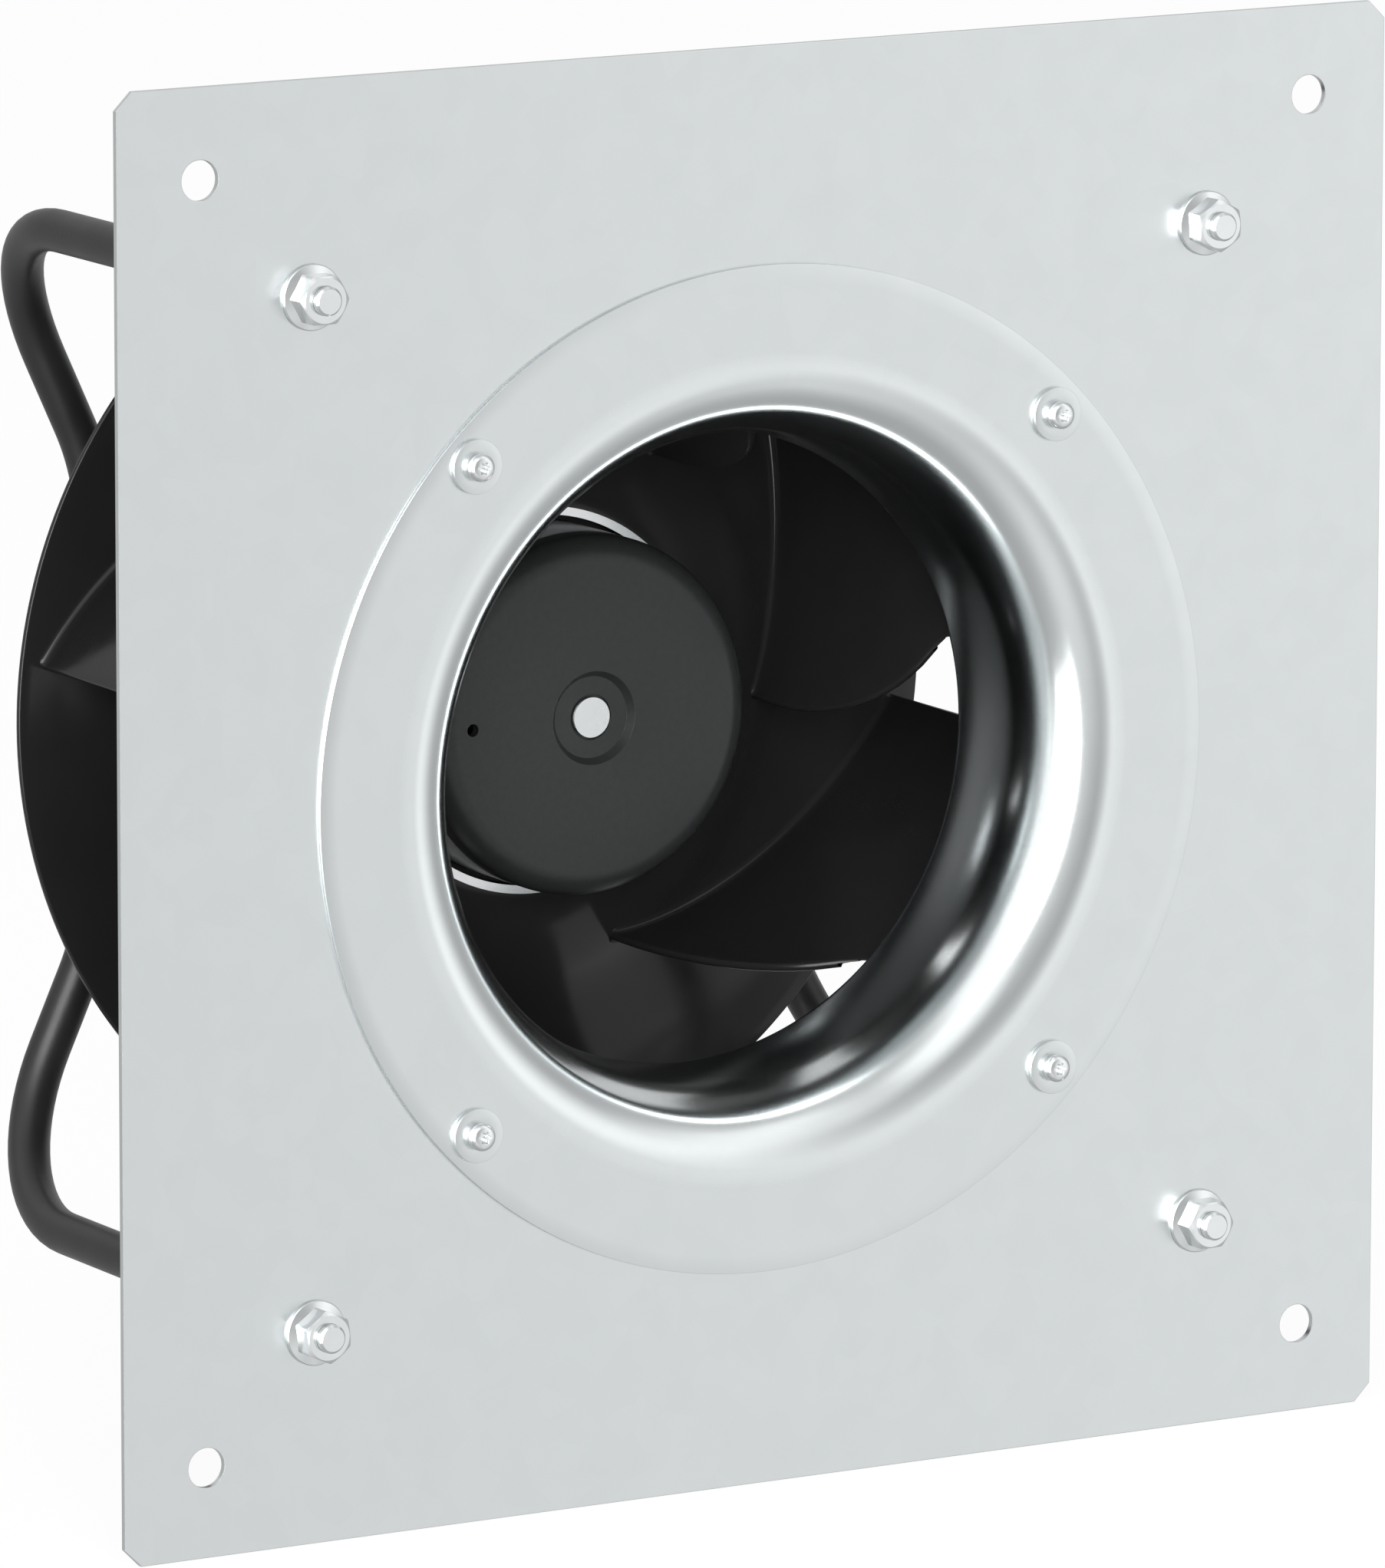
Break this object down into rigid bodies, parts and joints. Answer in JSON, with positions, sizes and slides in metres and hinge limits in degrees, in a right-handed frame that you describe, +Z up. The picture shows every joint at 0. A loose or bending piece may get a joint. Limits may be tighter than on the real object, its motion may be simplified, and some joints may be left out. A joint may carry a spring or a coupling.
{
  "type": "plug fan",
  "caption": "Plug fan: square wall plate with a drawn inlet nozzle, backward-curved impeller on an external-rotor motor, carried behind the plate by bent rods.",
  "frame": {"origin": "centre of the mounting plate's front face, on the fan axis", "axes": "+Y rearward along the fan axis from the plate to the motor, +X to the right seen from the inlet side, +Z up"},
  "size_m": [0.4, 0.2211, 0.4],
  "materials": {
    "galvanised_sheet": "matt galvanised",
    "bright_galvanised": "bright drawn galvanised",
    "zinc_fasteners": "bright zinc plated",
    "black_coating": "semi-gloss black coating",
    "cast_aluminium": "as cast",
    "lamination_steel": "dark lamination steel",
    "insulator_plastic": "moulded",
    "enamelled_copper": "enamelled copper wire",
    "bearing_steel": "ground",
    "board_laminate": "green laminate",
    "component_plastic": "moulded",
    "seal_rubber": "matt",
    "cover_plastic": "moulded black",
    "impeller_plastic": "moulded black, glass filled",
    "bare_steel": "turned",
    "rotor_paint": "satin dark grey",
    "magnet_ferrite": "ferrite"
  },
  "bodies": {
    "frame": {"mounting_plate": "galvanised_sheet", "inlet_nozzle": "bright_galvanised", "nozzle_washers": "galvanised_sheet", "nozzle_screws": "zinc_fasteners", "nozzle_press_nuts": "zinc_fasteners", "left_strut": "black_coating", "right_strut": "black_coating", "strut_flange_nuts": "zinc_fasteners", "motor_bracket": "black_coating", "motor_screws": "zinc_fasteners", "stator_housing": "cast_aluminium", "bearing_cap": "zinc_fasteners", "stator_core": "lamination_steel", "winding_insulators": "insulator_plastic", "stator_windings": "enamelled_copper", "bearing_outer_rings": "bearing_steel", "preload_spring": "bearing_steel", "circuit_board": "board_laminate", "board_components": "component_plastic", "cover_seal": "seal_rubber", "electronics_cover": "cover_plastic", "cover_screws": "zinc_fasteners", "cable_gland": "cover_plastic"},
    "rotor": {"impeller_disc": "impeller_plastic", "impeller_blades": "impeller_plastic", "impeller_shroud": "impeller_plastic", "carrier_ring": "bare_steel", "rotor_cup": "rotor_paint", "rotor_magnets": "magnet_ferrite", "motor_shaft": "bearing_steel", "bearing_inner_rings": "bearing_steel", "bearing_balls": "bearing_steel", "shaft_retaining_ring": "lamination_steel"}
  },
  "joints": [
    {"name": "impeller_spin", "type": "hinge", "parent": "frame", "child": "rotor", "pos_m": [0, 0.13, 0], "axis": [0, 1, 0], "continuous": true}
  ]
}
